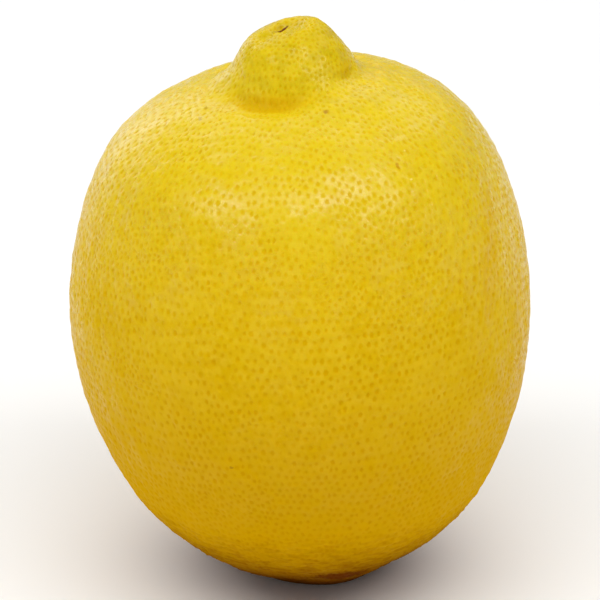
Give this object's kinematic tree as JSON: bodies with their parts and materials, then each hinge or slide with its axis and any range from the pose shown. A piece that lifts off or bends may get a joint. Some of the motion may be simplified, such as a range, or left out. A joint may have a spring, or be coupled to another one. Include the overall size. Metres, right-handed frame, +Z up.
{
  "type": "lemon",
  "caption": "Whole lemon with a nipple at its top and a pitted peel, standing on a small flat spot round its stem end, with its calyx button.",
  "frame": {"origin": "on the surface that the lemon stands on, under the middle of the fruit", "axes": "+Z up, from the stem end to the nipple; -Y towards the viewer of the picture; +X to the viewer's right"},
  "size_m": [0.062, 0.0624, 0.078],
  "materials": {
    "peel": "waxy yellow peel with a soft sheen, closely dotted with darker oil glands",
    "button": "dry woody calyx, dull grey-brown with a little green left in it"
  },
  "bodies": {
    "root": {"fruit": "peel", "stem_button": "button"}
  },
  "joints": []
}
